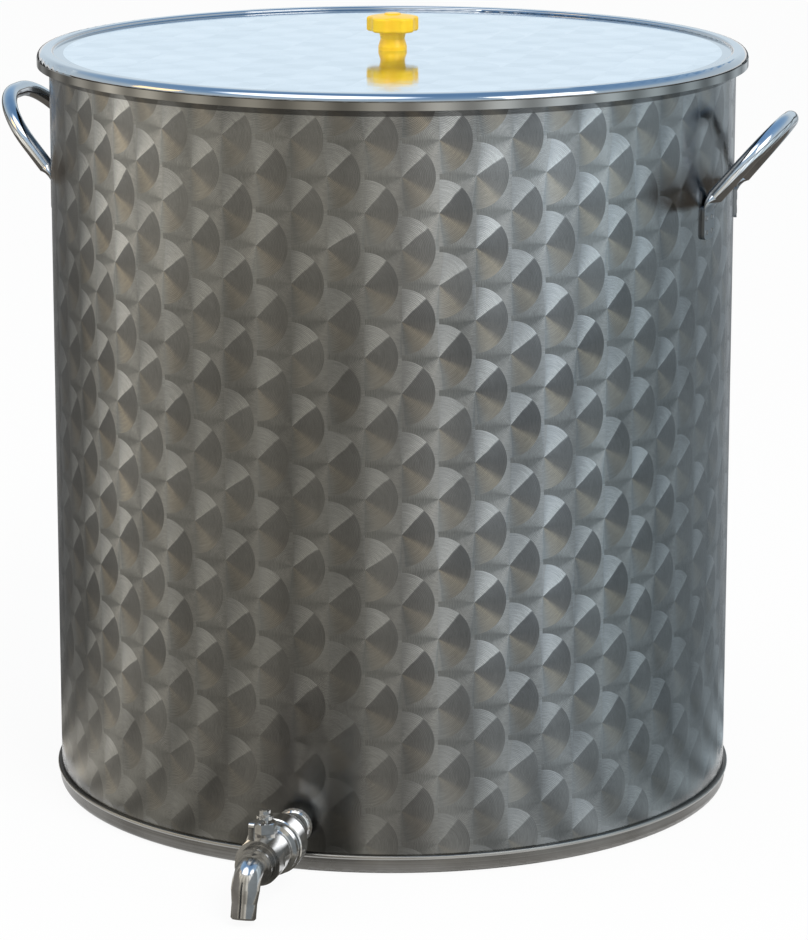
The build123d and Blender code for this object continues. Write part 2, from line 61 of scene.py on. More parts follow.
# The studio is a plain pale floor under a white surround, lit by one large soft lamp and a weaker one.
# Surround and floor look white to the camera and to metal, and the floor keeps the pot's soft shadow.
class Signal:
    """A node's output. Arithmetic on it adds Math nodes to the same tree."""

    def __init__(self, shading, socket):
        self.shading = shading
        self.socket = socket

    def __add__(self, other):
        return self.shading.maths("ADD", self, other)

    def __radd__(self, other):
        return self.shading.maths("ADD", other, self)

    def __sub__(self, other):
        return self.shading.maths("SUBTRACT", self, other)

    def __rsub__(self, other):
        return self.shading.maths("SUBTRACT", other, self)

    def __mul__(self, other):
        return self.shading.maths("MULTIPLY", self, other)

    def __rmul__(self, other):
        return self.shading.maths("MULTIPLY", other, self)

    def __truediv__(self, other):
        return self.shading.maths("DIVIDE", self, other)


class Shading:
    """The nodes of one material or world. Its add method makes any node."""

    def __init__(self, owner):
        owner.use_nodes = True
        self.nodes = owner.node_tree.nodes
        self.links = owner.node_tree.links
        self.nodes.clear()

    def add(self, kind, settings=None, inputs=None, output=0):
        node = self.nodes.new(kind)
        for name, value in (settings or {}).items():
            if name == "stops":
                self.set_stops(node.color_ramp.elements, value)
            else:
                setattr(node, name, value)
        for name, value in (inputs or {}).items():
            if isinstance(value, Signal):
                self.links.new(value.socket, node.inputs[name])
            else:
                node.inputs[name].default_value = value
        return Signal(self, node.outputs[output]) if len(node.outputs) else None

    def set_stops(self, elements, stops):
        while len(elements) > 1:
            elements.remove(elements[-1])
        elements[0].position = stops[0][0]
        elements[0].color = (*stops[0][1], 1.0)
        for place, colour in stops[1:]:
            elements.new(place).color = (*colour, 1.0)

    def maths(self, operation, *values):
        return self.add("ShaderNodeMath", {"operation": operation}, dict(enumerate(values)))

    def mix(self, factor, first, second, blend="MIX"):
        first = first if isinstance(first, Signal) else (*first, 1.0)
        second = second if isinstance(second, Signal) else (*second, 1.0)
        settings = {"data_type": "RGBA", "blend_type": blend}
        return self.add("ShaderNodeMix", settings, {0: factor, 6: first, 7: second}, output=2)

    def times(self, colour, level):
        """The colour made brighter or darker by a number that varies."""
        grey = self.add("ShaderNodeCombineColor", None, {0: level, 1: level, 2: level})
        return self.mix(1.0, colour, grey, "MULTIPLY")

    def axes(self, vector):
        split = self.add("ShaderNodeSeparateXYZ", None, {0: vector}).socket.node.outputs
        return [Signal(self, split[name]) for name in "XYZ"]

    def ramp(self, factor, stops):
        return self.add("ShaderNodeValToRGB", {"stops": stops}, {"Fac": factor})

    def place(self):
        """Where a point lies in the shared frame, in metres."""
        return self.add("ShaderNodeTexCoord", output="Object")

    def distance(self, x, y):
        return self.maths("SQRT", x * x + y * y)

    def soft_step(self, value, start, end, low=0.0, high=1.0):
        """Goes smoothly from low at start to high at end, and is level beyond them."""
        return self.add("ShaderNodeMapRange", {"interpolation_type": "SMOOTHSTEP"}, {
            0: value, 1: start, 2: end, 3: low, 4: high})

    def white_to_studio(self):
        """1 for the rays by which camera, metal and glass see the surroundings, and 0 for the rest."""
        rays = self.add("ShaderNodeLightPath").socket.node.outputs
        camera_ray, glossy_ray, clear_ray = [
            Signal(self, rays[name]) for name in ("Is Camera Ray", "Is Glossy Ray", "Is Transmission Ray")]
        return self.maths("MINIMUM", camera_ray + glossy_ray + clear_ray, 1.0)


white = (1.0, 1.0, 1.0)
surround_tone = (0.72, 0.74, 0.76)
world = bpy.data.worlds.new("surround")
scene.world = world
shading = Shading(world)
surround = shading.mix(shading.white_to_studio(), surround_tone, white)
background = shading.add("ShaderNodeBackground", None, {"Color": surround, "Strength": 1.0})
shading.add("ShaderNodeOutputWorld", None, {"Surface": background})


def mesh_object(name, bm, material):
    """The bmesh as a finished object at the origin, with one material."""
    mesh = bpy.data.meshes.new(name)
    bm.to_mesh(mesh)
    bm.free()
    mesh.materials.append(material)
    piece = bpy.data.objects.new(name, mesh)
    scene.collection.objects.link(piece)
    return piece


floor_half_side = 6.0
floor_drop = 0.0002
floor_white_share = 0.93
floor_paint = (0.86, 0.86, 0.86)
floor_material = bpy.data.materials.new("pale_floor")
shading = Shading(floor_material)
paint = shading.add("ShaderNodeBsdfDiffuse", None, {"Color": (*floor_paint, 1.0)})
glow = shading.add("ShaderNodeEmission", None, {"Color": (*white, 1.0), "Strength": 1.0})
share = shading.white_to_studio() * floor_white_share
both = shading.add("ShaderNodeMixShader", None, {0: share, 1: paint, 2: glow})
shading.add("ShaderNodeOutputMaterial", None, {"Surface": both})
bm = bmesh.new()
bmesh.ops.create_grid(bm, x_segments=1, y_segments=1, size=floor_half_side)
bmesh.ops.translate(bm, verts=bm.verts, vec=(0, 0, -floor_drop))
floor = mesh_object("floor", bm, floor_material)

pot_middle = Vector((0, 0, 0.3))


def soft_lamp(name, place, side, watts, colour):
    """A square lamp aimed at the middle of the pot."""
    data = bpy.data.lights.new(name, "AREA")
    data.shape = "SQUARE"
    data.size = side
    data.energy = watts
    data.color = colour
    lamp = bpy.data.objects.new(name, data)
    lamp.location = place
    lamp.rotation_euler = (pot_middle - Vector(place)).to_track_quat("-Z", "Y").to_euler()
    lamp.visible_glossy = False
    scene.collection.objects.link(lamp)


soft_lamp("key_lamp", (1.5, -1.6, 2.6), 1.4, 52.0, (1.0, 0.98, 0.95))
soft_lamp("fill_lamp", (-2.2, -0.8, 1.6), 1.2, 9.0, (0.95, 0.98, 1.0))


# Round the pot stands a low striped screen with a floor, of the kind that is set round bright metal to
# give it something to mirror. It is warm on the left, dim in front, cool and bright on the right, and dark
# behind, along its top edge and under the tap. Only reflections see it.
screen_radius = 0.62
screen_inner_radius = 0.275
screen_height = 0.555
screen_floor_gap = 0.0012
screen_sides = 96
screen_profile = [
    (0.5, screen_floor_gap), (0.59, 0.03), (screen_radius, 0.1), (screen_radius, screen_height)]
screen_levels = [
    (0.0, 0.80), (0.1, 0.92), (0.17, 0.98), (0.22, 0.93), (0.27, 0.92), (0.33, 1.06), (0.38, 1.22),
    (0.46, 1.36), (0.505, 1.36), (0.515, 0.28), (screen_height, 0.22)]
under_tap_half_width = 0.05
under_tap_reach = 0.50
under_tap_darkening = 0.62
screen_strips = 23
screen_strip_depth = 0.36
screen_tones = [
    (-180, (0.60, 0.62, 0.64)), (-158, (0.34, 0.35, 0.36)), (-112, (0.18, 0.18, 0.175)),
    (-88, (0.40, 0.385, 0.35)), (-66, (1.14, 1.07, 0.94)), (-38, (0.78, 0.73, 0.63)),
    (-8, (0.60, 0.56, 0.48)), (8, (0.60, 0.57, 0.50)), (20, (0.98, 0.94, 0.86)),
    (46, (1.12, 1.18, 1.20)), (60, (1.12, 1.22, 1.28)),
    (80, (0.84, 0.96, 1.02)), (100, (0.62, 0.72, 0.78)), (135, (0.43, 0.49, 0.53)),
    (160, (0.38, 0.40, 0.42)), (180, (0.60, 0.62, 0.64))]
screen_material = bpy.data.materials.new("screen")
shading = Shading(screen_material)
x, y, z = shading.axes(shading.place())
turn = shading.maths("ARCTAN2", x, 0 - y) / (2 * pi) + 0.5
tone = shading.ramp(turn, [(angle / 360 + 0.5, colour) for angle, colour in screen_tones])
strips = shading.maths("SINE", turn * (2 * pi * screen_strips)) * screen_strip_depth + 1.0
level = shading.ramp(z / screen_height, [(at / screen_height, (n, n, n)) for at, n in screen_levels])
under_tap = shading.maths("LESS_THAN", shading.maths("ABSOLUTE", x), under_tap_half_width)
under_tap = under_tap * shading.maths("GREATER_THAN", y, -under_tap_reach)
under_tap = under_tap * shading.maths("LESS_THAN", y, 0.0)
level = level * strips * (1 - under_tap_darkening * under_tap)
glow = shading.add("ShaderNodeEmission", None, {"Color": shading.times(tone, level), "Strength": 1.0})
shading.add("ShaderNodeOutputMaterial", None, {"Surface": glow})
bm = bmesh.new()
rim = bmesh.ops.create_circle(bm, segments=screen_sides, radius=screen_inner_radius)["verts"]
bmesh.ops.translate(bm, verts=rim, vec=(0, 0, screen_floor_gap))
for radius, height in screen_profile:
    edges = [e for e in bm.edges if all(v in set(rim) for v in e.verts)]
    grown = bmesh.ops.extrude_edge_only(bm, edges=edges)["geom"]
    rim = [g for g in grown if isinstance(g, bmesh.types.BMVert)]
    for vert in rim:
        flat = vert.co.xy.normalized() * radius
        vert.co = (flat.x, flat.y, height)
screen = mesh_object("screen", bm, screen_material)


def only_reflected(piece):
    """A stage piece that neither shows nor shades anything, but is mirrored in metal."""
    piece.visible_camera = False
    piece.visible_diffuse = False
    piece.visible_shadow = False
    piece.visible_transmission = False


only_reflected(screen)


# Over the pot hangs a wide pale blue canopy, deeper blue above the pot itself, with a round white lamp a
# little to its left in front. The lid, the rim and the tops of the handles take their blue and white from it.
canopy_radius = 12.0
canopy_height = 1.65
canopy_lamp_place = (-0.25, -0.92)
canopy_lamp_radius = 0.75
canopy_lamp_edge = 0.25
canopy_lamp_gain = 2.2
canopy_tones = [
    (0.0, (0.22, 0.42, 0.74)), (0.05, (0.27, 0.48, 0.80)), (0.125, (0.42, 0.64, 0.92)),
    (0.225, (0.74, 0.87, 0.99)), (0.35, (0.80, 0.93, 1.035))]
canopy_material = bpy.data.materials.new("blue_canopy")
shading = Shading(canopy_material)
x, y = shading.axes(shading.place())[:2]
out = shading.distance(x, y) / canopy_radius
from_lamp = shading.distance(x - canopy_lamp_place[0], y - canopy_lamp_place[1])
on_lamp = shading.soft_step(from_lamp, canopy_lamp_radius, canopy_lamp_radius - canopy_lamp_edge)
tone = shading.mix(on_lamp, shading.ramp(out, canopy_tones), white)
tone = shading.times(tone, 1.0 + on_lamp * canopy_lamp_gain)
glow = shading.add("ShaderNodeEmission", None, {"Color": tone, "Strength": 1.0})
shading.add("ShaderNodeOutputMaterial", None, {"Surface": glow})
bm = bmesh.new()
bmesh.ops.create_circle(bm, cap_ends=True, segments=screen_sides, radius=canopy_radius)
bmesh.ops.translate(bm, verts=bm.verts, vec=(0, 0, canopy_height))
only_reflected(mesh_object("canopy", bm, canopy_material))


# Two glowing cards hang above and beyond the screen, a white one on the right and a warm one on the left.
# They face the pot and give its polished pieces their highlights.
bright_card_strength = 3.2
bright_card_lift = 0.2


def bright_card(name, azimuth, elevation, away, side, colour):
    """A square card that faces the pot from its azimuth and elevation."""
    material = bpy.data.materials.new(name)
    shading = Shading(material)
    glow = shading.add("ShaderNodeEmission", None, {
        "Color": (*colour, 1.0), "Strength": bright_card_strength})
    shading.add("ShaderNodeOutputMaterial", None, {"Surface": glow})
    bm = bmesh.new()
    bmesh.ops.create_grid(bm, x_segments=1, y_segments=1, size=side / 2)
    turn = Matrix.Rotation(radians(azimuth), 4, "Z") @ Matrix.Rotation(pi / 2 - radians(elevation), 4, "X")
    bmesh.ops.transform(bm, verts=bm.verts, matrix=turn @ Matrix.Translation((0, 0, away)))
    bmesh.ops.translate(bm, verts=bm.verts, vec=(0, 0, bright_card_lift))
    only_reflected(mesh_object(name, bm, material))


bright_card("white_card", 62, 40, 1.15, 0.5, white)
bright_card("warm_card", -58, 34, 1.2, 0.3, (1.0, 0.72, 0.42))


# Just behind the tap stand two small soft cards, turned towards it: its round pieces mirror the wall, and
# the cards give them a white streak up on the right and a warm one low on the left. A black strip in front
# of the spout and a grey card on each side of it draw the lines down the spout.
card_plane = -0.2625
card_soft_edge = 0.012
strip_plane = -0.43
strip_foot = 0.002
strip_top = 0.08
spout_card_aside = 0.055
spout_card_front = -0.44
spout_card_back = -0.34


def one_sided_card(name, corners, colour, strength, soft_edge=0.0):
    """A small card that only its front reflects. What meets it from behind passes through."""
    material = bpy.data.materials.new(name)
    shading = Shading(material)
    glow = shading.add("ShaderNodeEmission", None, {"Color": (*colour, 1.0), "Strength": strength})
    clear = shading.add("ShaderNodeBsdfTransparent")
    shown = 1 - Signal(shading, shading.add("ShaderNodeNewGeometry").socket.node.outputs["Backfacing"])
    if soft_edge:
        place = shading.axes(shading.place())
        for axis in range(3):
            low = min(corner[axis] for corner in corners)
            high = max(corner[axis] for corner in corners)
            if high - low > soft_edge:
                for edge, inside in ((low, low + soft_edge), (high, high - soft_edge)):
                    shown = shown * shading.soft_step(place[axis], edge, inside)
    both = shading.add("ShaderNodeMixShader", None, {0: shown, 1: clear, 2: glow})
    shading.add("ShaderNodeOutputMaterial", None, {"Surface": both})
    bm = bmesh.new()
    bm.faces.new([bm.verts.new(corner) for corner in corners])
    only_reflected(mesh_object(name, bm, material))


for name, low_x, high_x, low_z, high_z, colour, strength in (
        ("tap_white_card", 0.009, 0.046, 0.040, 0.074, (0.96, 0.98, 1.0), 2.6),
        ("tap_warm_card", -0.060, -0.018, 0.018, 0.052, (1.0, 0.86, 0.66), 1.3)):
    one_sided_card(name, [
        (low_x, card_plane, low_z), (high_x, card_plane, low_z),
        (high_x, card_plane, high_z), (low_x, card_plane, high_z)], colour, strength, card_soft_edge)

for name, (start_x, start_y), (end_x, end_y), colour, strength in (
        ("spout_black_strip", (-0.008, strip_plane), (-0.028, strip_plane), white, 0.03),
        ("spout_card_left", (-spout_card_aside, spout_card_front), (-spout_card_aside, spout_card_back),
         (1.0, 0.93, 0.84), 0.26),
        ("spout_card_right", (spout_card_aside, spout_card_back), (spout_card_aside, spout_card_front),
         (0.86, 0.95, 1.0), 0.34)):
    one_sided_card(name, [
        (start_x, start_y, strip_foot), (end_x, end_y, strip_foot),
        (end_x, end_y, strip_top), (start_x, start_y, strip_top)], colour, strength)


# Under each handle lies a dark tray that faces up, so that the lower half of the bright bar mirrors
# something dark. It starts just off the wall and is longer and wider than the handle.
tray_height = 0.449
tray_half_length = 0.085
tray_near = 0.2535
tray_far = 0.37
tray_colour = (1.0, 0.90, 0.78)
tray_strength = 0.16
for name, low_x, high_x in (("tray_right", tray_near, tray_far), ("tray_left", -tray_far, -tray_near)):
    one_sided_card(name, [
        (low_x, -tray_half_length, tray_height), (high_x, -tray_half_length, tray_height),
        (high_x, tray_half_length, tray_height), (low_x, tray_half_length, tray_height)],
        tray_colour, tray_strength)


# The wall is one sheet of bright stainless steel, rolled round and welded down the back. A turning pad has
# swept overlapping round spots into its outer face, column after column, each column over part of the next.
# The bright and dark wedges in each spot are painted reflections, deeper in some places round the wall and
# fading towards the foot. A painted shade darkens the top of the wall and the curled rim under the lid's
# skirt, and the inner face is plain sheet.
wall_radius = 0.25
spot_columns = 62
spot_pitch = 2 * pi * wall_radius / spot_columns
spot_rise = 0.0496
spot_reach = 0.0229
spot_shift_round = -0.00034
spot_shift_up = 0.0214
groove_pitch = 0.0011


def spots(shading, along, up):
    """Distance and angle from the middle of the uppermost spot at a point, and that spot's own number."""
    column = shading.maths("FLOOR", along / spot_pitch)
    odd = column - 2 * shading.maths("FLOOR", column / 2)
    near_along = along - column * spot_pitch
    row = up / spot_rise + odd * 0.5
    near_up = (shading.maths("FRACT", row + 0.5) - 0.5) * spot_rise
    next_up = (shading.maths("FRACT", row) - 0.5) * spot_rise
    near_distance = shading.distance(near_along, near_up)
    on_near = shading.maths("LESS_THAN", near_distance, spot_reach)
    side = near_along - spot_pitch * (1 - on_near)
    height = next_up + (near_up - next_up) * on_near
    distance = shading.distance(side, height)
    angle = shading.maths("ARCTAN2", height, side)
    which = shading.add("ShaderNodeCombineXYZ", None, {
        0: column + 1 - on_near, 1: shading.maths("FLOOR", row + 0.5 * on_near) + 0.5 * on_near})
    own = shading.add("ShaderNodeTexWhiteNoise", {"noise_dimensions": "2D"}, {"Vector": which})
    return distance, angle, own


noise_roughness = 0.55


def noise(shading, vector, scale, detail=3.0):
    return shading.add("ShaderNodeTexNoise", None, {
        "Vector": vector, "Scale": scale, "Detail": detail, "Roughness": noise_roughness})


def stretched(shading, vector, scale):
    return shading.add("ShaderNodeMapping", None, {"Vector": vector, "Scale": scale})


def surface(shading, inputs):
    shader = shading.add("ShaderNodeBsdfPrincipled", None, inputs)
    shading.add("ShaderNodeOutputMaterial", None, {"Surface": shader})


fine_depth = 0.0001


def bump(shading, height, strength, depth=fine_depth):
    return shading.add("ShaderNodeBump", None, {"Height": height, "Strength": strength, "Distance": depth})


# Each spot's tone by the angle round its middle: bright and dark wedges that are painted reflections.
spot_painted_reflections = [
    (0.000, (0.125, 0.130, 0.130)), (0.055, (0.140, 0.146, 0.146)), (0.085, (0.200, 0.205, 0.205)),
    (0.180, (0.260, 0.262, 0.258)), (0.245, (0.215, 0.222, 0.225)), (0.252, (0.165, 0.178, 0.185)),
    (0.310, (0.190, 0.182, 0.165)), (0.385, (0.215, 0.197, 0.165)), (0.430, (0.108, 0.106, 0.103)),
    (0.500, (0.096, 0.098, 0.099)), (0.612, (0.110, 0.114, 0.118)), (0.620, (0.400, 0.412, 0.415)),
    (0.680, (0.340, 0.352, 0.360)), (0.748, (0.240, 0.252, 0.262)), (0.753, (0.215, 0.222, 0.225)),
    (0.880, (0.225, 0.230, 0.230)), (0.955, (0.190, 0.196, 0.196)), (1.000, (0.125, 0.130, 0.130))]
spot_average = (0.172, 0.175, 0.174)
# How deep the spots' painted reflections are at each angle round the wall.
painted_reflection_depths = [
    (-180, 0.70), (-75, 0.65), (-38, 0.95), (-17, 0.50), (10, 0.50), (20, 0.80), (38, 1.00), (55, 0.90),
    (72, 0.45), (100, 0.60), (180, 0.70)]
turn_scatter = 0.05
turn_wobble = 0.03
second_draw = 7.31
light_touch = 0.72
touch_spread = 0.4
# Low on the wall the painted reflections fade to a shallower depth.
reflection_fade_bottom = 0.02
reflection_fade_top = 0.2
reflection_depth_at_foot = 0.45
stroke_density = 1300.0
stroke_bend = 2.0
stroke_shift = 40.0
spot_level = 0.84
level_spread = 0.2
cloud_depth = 0.5
stroke_depth = 0.5
# Above this height the wall and its curled rim are darkened: a painted shade under the lid's skirt.
lid_shade_height = 0.5334
painted_lid_shade = 0.62
polish_roughness = 0.13
roughness_by_tone = 0.24
roughness_by_clouds = 0.08
groove_wobble = 3.0
groove_share = 0.5
groove_bump = 0.22
groove_depth = 0.00012
inner_face_margin = 0.0004
plain_sheet = (0.58, 0.585, 0.58)
wall_material = bpy.data.materials.new("swirl_polished_steel")
shading = Shading(wall_material)
place = shading.place()
x, y, z = shading.axes(place)
round_angle = shading.maths("ARCTAN2", x, 0 - y)
# depth is how strongly the spots' painted reflections show.
depth = shading.ramp(
    round_angle / (2 * pi) + 0.5, [(turn / 360 + 0.5, (d, d, d)) for turn, d in painted_reflection_depths])
depth = depth * shading.soft_step(z, reflection_fade_bottom, reflection_fade_top, reflection_depth_at_foot)
along = round_angle * wall_radius - spot_shift_round
distance, angle, own = spots(shading, along, z - spot_shift_up)
wobble = noise(shading, place, 60.0, 2.0) - 0.5
turn = shading.maths("FRACT", angle / (2 * pi) + 0.5 + (own - 0.5) * turn_scatter + wobble * turn_wobble)
touch = light_touch + shading.maths("FRACT", own * second_draw) * touch_spread
tone = shading.mix(1.0 - depth * touch, shading.ramp(turn, spot_painted_reflections), spot_average)
clouds = noise(shading, stretched(shading, place, (9.0, 9.0, 3.0)), 1.0, 4.0)
stroke = shading.add("ShaderNodeCombineXYZ", None, {
    0: distance * stroke_density, 1: angle * stroke_bend, 2: own * stroke_shift})
strokes = noise(shading, stroke, 1.0, 2.0) - 0.5
level = spot_level + own * level_spread + (clouds - 0.5) * cloud_depth + strokes * stroke_depth
level = level * (1 - painted_lid_shade * shading.maths("GREATER_THAN", z, lid_shade_height))
tone = shading.times(tone, level)
inside = shading.maths("LESS_THAN", shading.distance(x, y), wall_radius - inner_face_margin)
tone = shading.mix(inside, tone, plain_sheet)
ripple = shading.maths("SINE", distance * (2 * pi / groove_pitch) + wobble * groove_wobble) * (1 - inside)
scratch = noise(shading, place, 900.0, 2.0)
red = shading.add("ShaderNodeSeparateColor", None, {0: tone})
surface(shading, {
    "Base Color": tone, "Metallic": 1.0,
    "Roughness": polish_roughness + red * roughness_by_tone + (clouds - 0.5) * roughness_by_clouds,
    "Normal": bump(shading, ripple * groove_share + scratch, groove_bump, groove_depth)})


def dress(material, *names):
    """Gives CAD nodes their finish."""
    for name in names:
        for slot in nodes[name].material_slots:
            slot.material = material


dress(wall_material, "body_shell")


# The seam down the back is butt-welded by machine: a low flat bead with close, even ripples. It stands on
# the wall from just above the base ring to just below the rim, and is part of the pot.
seam_bottom = 0.017
seam_top = 0.536
seam_half_width = 0.0013
seam_proud = 0.00035
seam_face = wall_radius + seam_proud
seam_sides = 8
ripple_pitch = 0.0021
ripple_swell = 1.25
weld_material = bpy.data.materials.new("weld_steel")
shading = Shading(weld_material)
place = shading.place()
tint = shading.ramp(noise(shading, place, 240.0), [
    (0.3, (0.16, 0.145, 0.125)), (0.5, (0.22, 0.215, 0.205)), (0.7, (0.28, 0.285, 0.29))])
surface(shading, {
    "Base Color": tint, "Metallic": 1.0, "Roughness": 0.25 + noise(shading, place, 600.0) * 0.25,
    "Normal": bump(shading, noise(shading, place, 1500.0), 0.2)})
bm = bmesh.new()
ring = bmesh.ops.create_circle(bm, segments=seam_sides, radius=seam_half_width)["verts"]
bmesh.ops.scale(bm, verts=ring, vec=(1, seam_proud / seam_half_width, 1))
bmesh.ops.translate(bm, verts=ring, vec=(0, seam_face, seam_bottom))
ripples = int((seam_top - seam_bottom) / ripple_pitch)
for step in range(2 * ripples):
    edges = [e for e in bm.edges if e.verts[0] in ring and e.verts[1] in ring]
    grown = bmesh.ops.extrude_edge_only(bm, edges=edges)["geom"]
    ring = [g for g in grown if isinstance(g, bmesh.types.BMVert)]
    bmesh.ops.translate(bm, verts=ring, vec=(0, 0, ripple_pitch / 2))
    swell = ripple_swell if step % 2 == 0 else 1 / ripple_swell
    bmesh.ops.scale(bm, verts=ring, vec=(swell, swell, 1), space=Matrix.Translation((0, -seam_face, 0)))
bmesh.ops.holes_fill(bm, edges=bm.edges)
bmesh.ops.recalc_face_normals(bm, faces=bm.faces)
seam_weld = mesh_object("seam_weld", bm, weld_material)
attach(seam_weld, "pot")


# The base ring and the bottom are pressed from plain rolled sheet and welded on. Handling has left fine lines
# round the ring, and a painted highlight runs along its bead. Inside the pot the bottom is plain bright
# sheet.
bead_line = 0.0123
bead_line_half_width = 0.0011
# A painted highlight along the bead.
bead_painted_highlight = (0.34, 0.335, 0.32)
ring_inner_radius = 0.2485
base_material = bpy.data.materials.new("rolled_base_steel")
shading = Shading(base_material)
place = shading.place()
x, y, z = shading.axes(place)
lines = noise(shading, stretched(shading, place, (6.0, 6.0, 1500.0)), 1.0, 3.0)
clouds = noise(shading, place, 22.0, 4.0)
tone = shading.ramp(lines * 0.5 + clouds * 0.5, [
    (0.35, (0.105, 0.10, 0.092)), (0.5, (0.15, 0.145, 0.135)), (0.65, (0.205, 0.20, 0.19))])
on_bead_highlight = shading.maths("LESS_THAN", shading.maths("ABSOLUTE", z - bead_line), bead_line_half_width)
tone = shading.mix(on_bead_highlight, tone, bead_painted_highlight)
inside = shading.maths("LESS_THAN", shading.distance(x, y), ring_inner_radius)
inside = inside * shading.maths("GREATER_THAN", z, inner_face_margin)
tone = shading.mix(inside, tone, plain_sheet)
surface(shading, {
    "Base Color": tone, "Metallic": 1.0, "Roughness": 0.2 + clouds * 0.18,
    "Normal": bump(shading, lines, 0.15)})
dress(base_material, "base_ring", "bottom_pan")


# The lid is pressed from mirror-bright sheet: a flat panel let down inside a rounded rim, with a short skirt.
# Its panel carries the same round spots as the wall, polished until they are only just seen, with faint
# painted reflections in their wedges. Rim and skirt are painted darker than the panel, the skirt most:
# painted shade.
panel_radius = 0.2395
rim_depth = 0.0045
skirt_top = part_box("lid_panel")[1].z - rim_depth
# The skirt and the rim carry painted shade: both are darker than the panel, the skirt most.
skirt_painted_shade = (0.19, 0.19, 0.185)
rim_painted_shade = (0.42, 0.44, 0.46)
painted_wedge_share = 0.32
cloud_share = 0.35
lid_material = bpy.data.materials.new("mirror_lid_steel")
shading = Shading(lid_material)
place = shading.place()
x, y, z = shading.axes(place)
distance, angle, own = spots(shading, x, y)
out = shading.distance(x, y)
on_panel = shading.maths("LESS_THAN", out, panel_radius)
# Each spot gets a faint pair of bright and dark wedges, a painted reflection, and a random tone of its own.
painted_wedges_and_spot_tone = (shading.maths("SINE", angle * 2.0) * 0.5 + own - 0.5) * on_panel
clouds = noise(shading, place, 7.0, 3.0)
tone = shading.ramp(0.5 + painted_wedges_and_spot_tone * painted_wedge_share + (clouds - 0.5) * cloud_share, [
    (0.2, (0.62, 0.66, 0.69)), (0.5, (0.71, 0.745, 0.775)), (0.8, (0.79, 0.82, 0.845))])
edge_painted_shade = shading.mix(shading.maths("GREATER_THAN", z, skirt_top), skirt_painted_shade, rim_painted_shade)
tone = shading.mix(on_panel, edge_painted_shade, tone)
lines = noise(shading, stretched(shading, place, (8.0, 8.0, 1200.0)), 1.0, 3.0)
ripple = shading.maths("SINE", distance * (2 * pi / groove_pitch))
surface(shading, {
    "Base Color": tone, "Metallic": 1.0, "Roughness": 0.04 + painted_wedges_and_spot_tone * 0.02 + clouds * 0.05,
    "Normal": bump(shading, ripple * on_panel * 0.3 + lines, 0.06)})
dress(lid_material, "lid_panel")


# The knob is moulded in yellow plastic with five lobes, round a brass bush. A separate cap closes its top,
# and a steel screw with a washer holds it from inside the lid.
yellow_material = bpy.data.materials.new("yellow_moulding")
shading = Shading(yellow_material)
place = shading.place()
flow = noise(shading, place, 90.0, 3.0)
tone = shading.ramp(flow, [
    (0.3, (0.93, 0.54, 0.002)), (0.5, (0.98, 0.60, 0.002)), (0.7, (1.0, 0.66, 0.006))])
surface(shading, {
    "Base Color": tone, "Metallic": 0.0, "Roughness": 0.27 + flow * 0.14, "Coat Weight": 0.12,
    "Coat Roughness": 0.2, "Normal": bump(shading, noise(shading, place, 2200.0, 2.0), 0.08)})
dress(yellow_material, "lid_knob", "knob_cap")

brass_material = bpy.data.materials.new("turned_brass")
shading = Shading(brass_material)
place = shading.place()
lines = noise(shading, stretched(shading, place, (40.0, 40.0, 4000.0)), 1.0, 2.0)
surface(shading, {
    "Base Color": shading.ramp(lines, [(0.3, (0.50, 0.33, 0.10)), (0.7, (0.68, 0.48, 0.18))]),
    "Metallic": 1.0, "Roughness": 0.22 + lines * 0.2, "Normal": bump(shading, lines, 0.2)})
dress(brass_material, "knob_insert")


# The handles are bent from bright round bar. Their ends are flattened against the wall, drawn down and
# held by four spot welds each, and the heat has left a low rim round each weld.
tab_top = 0.4518
# The flattened tabs are painted as dark as the wall beside them, a painted shade for what their flat faces
# mirror, and are rougher than the bar.
tab_painted_shade = (0.17, 0.178, 0.185)
dull_below = tab_top - 0.002
bright_above = tab_top + 0.006
bar_material = bpy.data.materials.new("polished_bar_steel")
shading = Shading(bar_material)
place = shading.place()
smear = noise(shading, stretched(shading, place, (60.0, 12.0, 60.0)), 1.0, 3.0)
fine = noise(shading, stretched(shading, place, (2600.0, 300.0, 2600.0)), 1.0, 2.0)
z = shading.axes(place)[2]
bright = shading.soft_step(z, dull_below, bright_above)
tone = shading.ramp(smear, [
    (0.3, (0.40, 0.42, 0.44)), (0.55, (0.50, 0.52, 0.54)), (0.75, (0.58, 0.60, 0.62))])
surface(shading, {
    "Base Color": shading.mix(bright, tab_painted_shade, tone),
    "Metallic": 1.0, "Roughness": 0.26 - bright * 0.2 + smear * 0.1,
    "Normal": bump(shading, fine + smear * 0.5, 0.05)})
dress(bar_material, "handle_right", "handle_left")

tab_thickness = 0.0022
tab_face = wall_radius + tab_thickness
leg_turn = 0.19932
weld_dot_half_spacing = 0.005
weld_dot_height = 0.43755
rim_radius = 0.0019
rim_section = 0.00028


def ring_in(bm, radius, section, turns=20, sides=6):
    """Adds a round ring about the X axis at the origin, and returns its vertices."""
    before = set(bm.verts)
    circle = bmesh.ops.create_circle(bm, segments=sides, radius=section)["verts"]
    bmesh.ops.translate(bm, verts=circle, vec=(0, radius, 0))
    edges = [e for e in bm.edges if e.verts[0] in circle and e.verts[1] in circle]
    bmesh.ops.spin(bm, geom=circle + edges, cent=(0, 0, 0), axis=(1, 0, 0), dvec=(0, 0, 0),
                   angle=2 * pi, steps=turns, use_merge=True)
    return [v for v in bm.verts if v not in before]


